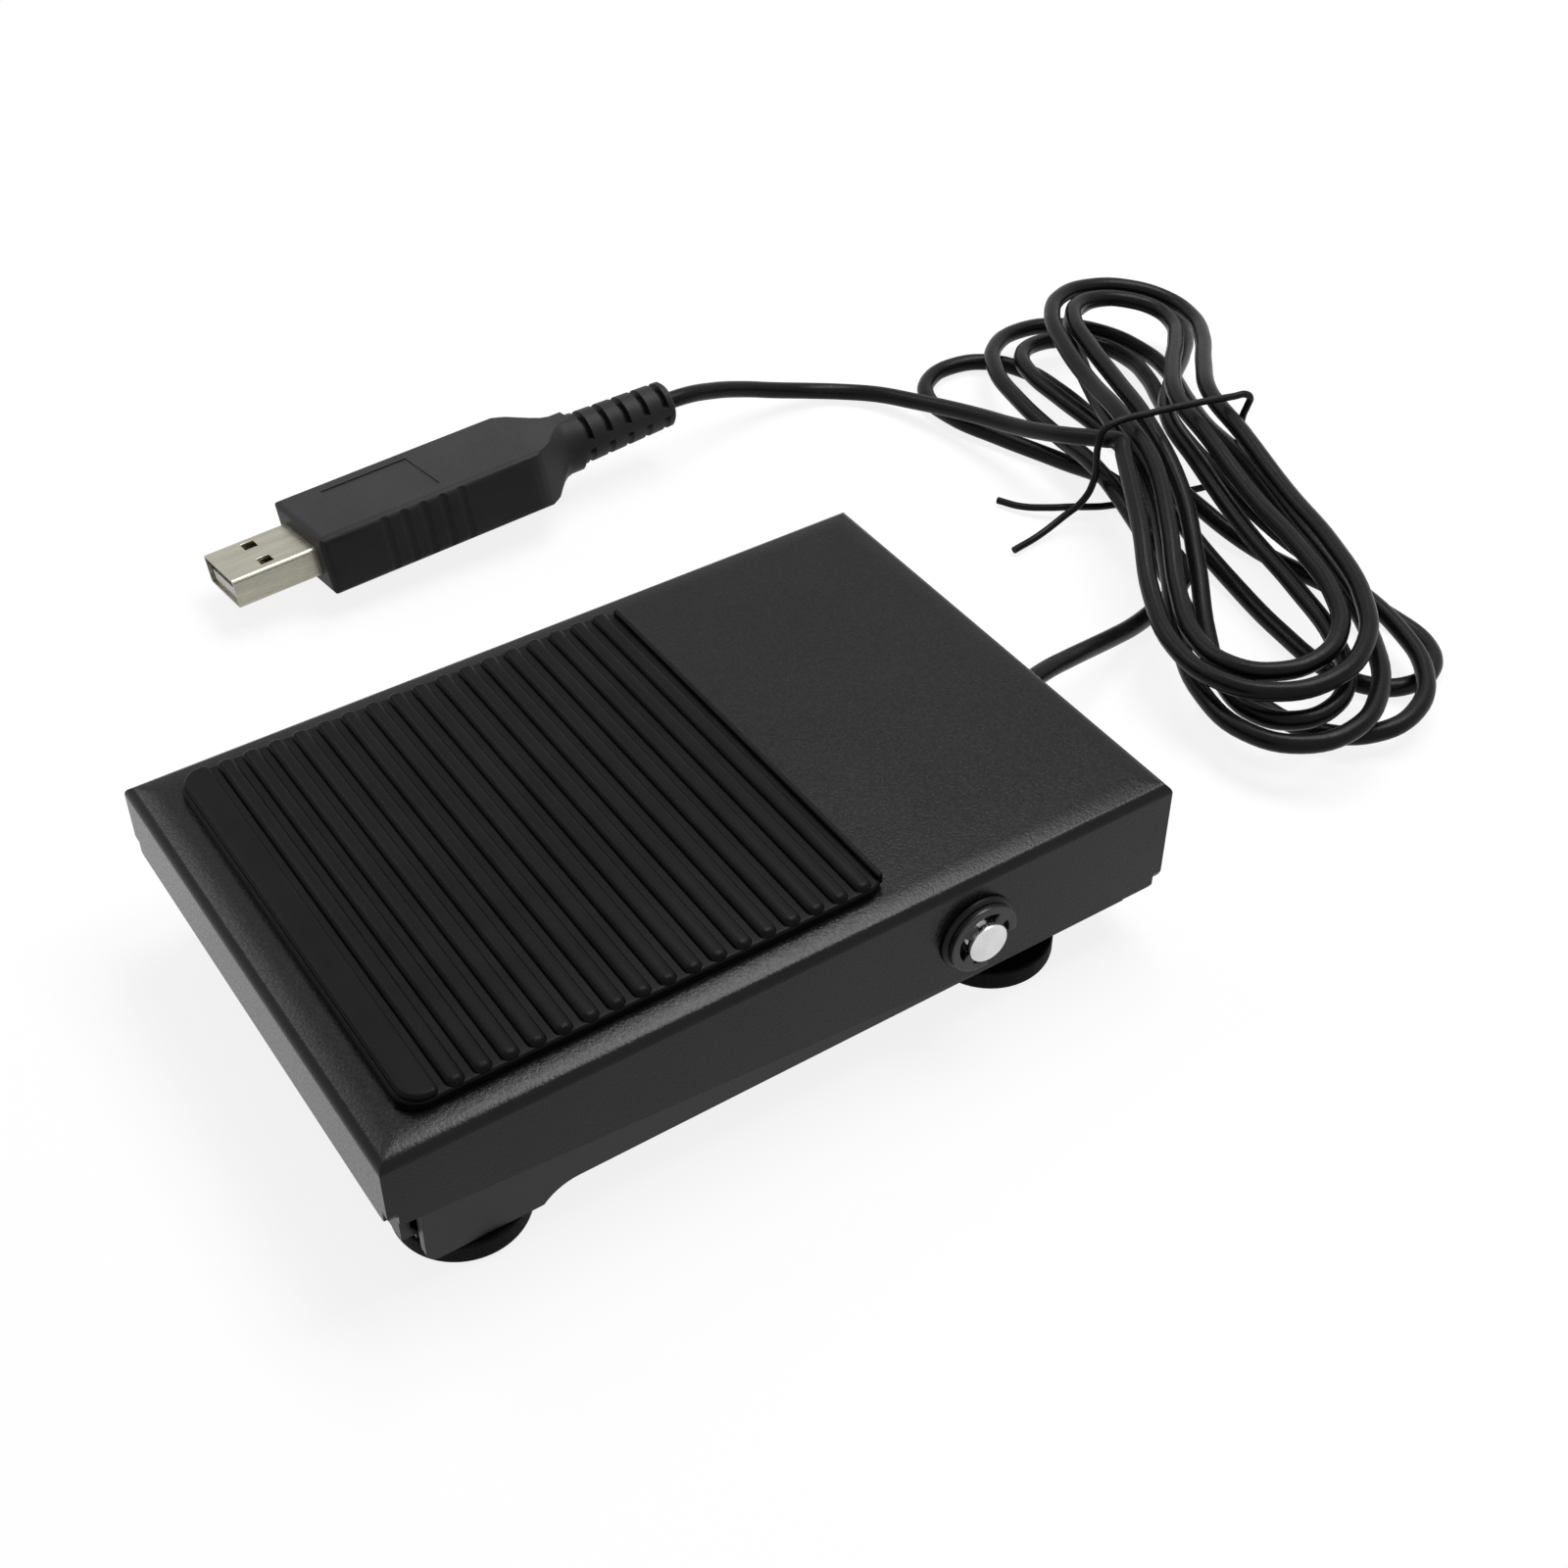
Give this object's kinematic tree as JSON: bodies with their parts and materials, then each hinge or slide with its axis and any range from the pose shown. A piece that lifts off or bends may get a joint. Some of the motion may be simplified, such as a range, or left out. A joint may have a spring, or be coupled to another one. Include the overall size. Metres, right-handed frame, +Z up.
{
  "type": "usb foot pedal switch",
  "caption": "Low foot pedal switch: a ribbed rubber pad on a folded steel cover that rocks on a pin over a steel tray, with a tied cable and a large-bodied USB plug.",
  "frame": {"origin": "centre of the pedal's outline, on the floor it stands on", "axes": "+Y along the pedal's length towards the cable, +Z up from the floor, +X to the right seen from behind the cable's far end looking down with the cable at the top"},
  "size_m": [0.1367, 0.1968, 0.026],
  "materials": {
    "powder_coat": "fine-textured black powder coat",
    "tray_paint": "smooth satin black paint",
    "pad_rubber": "matte",
    "foot_rubber": "matte",
    "bright_steel": "bright turned",
    "zinc_steel": "zinc plated",
    "clip_steel": "black phosphated spring steel",
    "bush_nylon": "matte black nylon",
    "spacer_brass": "turned",
    "board_green": "solder mask",
    "switch_body": "matte",
    "stem_red": "smooth",
    "grommet_rubber": "matte",
    "clamp_nylon": "natural nylon",
    "core_red": "PVC insulation",
    "core_white": "PVC insulation",
    "cable_pvc": "satin black PVC",
    "tie_pvc": "coated wire",
    "relief_pvc": "soft matte PVC",
    "plug_plastic": "fine-grained dark grey",
    "chip_black": "matte",
    "nickel": "satin nickel plate",
    "tongue_white": "matte",
    "contact_gold": "gold flash"
  },
  "bodies": {
    "base": {"base_tray": "tray_paint", "rubber_foot_front_left": "foot_rubber", "rubber_foot_front_right": "foot_rubber", "rubber_foot_rear_left": "foot_rubber", "rubber_foot_rear_right": "foot_rubber", "foot_screws": "zinc_steel", "foot_nuts": "zinc_steel", "pivot_pin": "bright_steel", "pivot_clip_left": "clip_steel", "pivot_clip_right": "clip_steel", "board_spacers": "spacer_brass", "switch_board": "board_green", "board_screws": "zinc_steel", "switch_housing": "switch_body", "return_spring_left": "bright_steel", "return_spring_right": "bright_steel", "cable_grommet": "grommet_rubber", "cable_clamp": "clamp_nylon", "clamp_screw": "zinc_steel", "core_wire_red": "core_red", "core_wire_white": "core_white", "cable_lead": "cable_pvc", "cable_hank": "cable_pvc", "cable_tail": "cable_pvc", "wire_tie": "tie_pvc", "plug_strain_relief": "relief_pvc", "plug_overmould": "plug_plastic", "plug_board": "board_green", "encoder_chip": "chip_black", "usb_shell": "nickel", "usb_tongue": "tongue_white", "usb_contacts": "contact_gold"},
    "pedal": {"pedal_cover": "powder_coat", "tread_pad": "pad_rubber", "press_stud": "bright_steel", "pivot_bush_left": "bush_nylon", "pivot_bush_right": "bush_nylon"},
    "stem": {"switch_stem": "stem_red"}
  },
  "joints": [
    {"name": "pedal_pivot", "type": "hinge", "parent": "base", "child": "pedal", "pos_m": [0, 0.023, 0.0154], "axis": [1, 0, 0], "range_deg": [0, 4], "stiffness_Nm_per_rad": 2.9, "springref_deg": -3.15, "deforming": ["return_spring_left", "return_spring_right"]},
    {"name": "stem_slide", "type": "slide", "parent": "base", "child": "stem", "axis": [0, 0, -1], "range_m": [0, 0.00301], "stiffness_N_per_m": 150, "springref_m": -0.002}
  ],
  "couplings": [
    {"joint": "stem_slide", "follows": "pedal_pivot", "m_per_rad": 0.043}
  ]
}
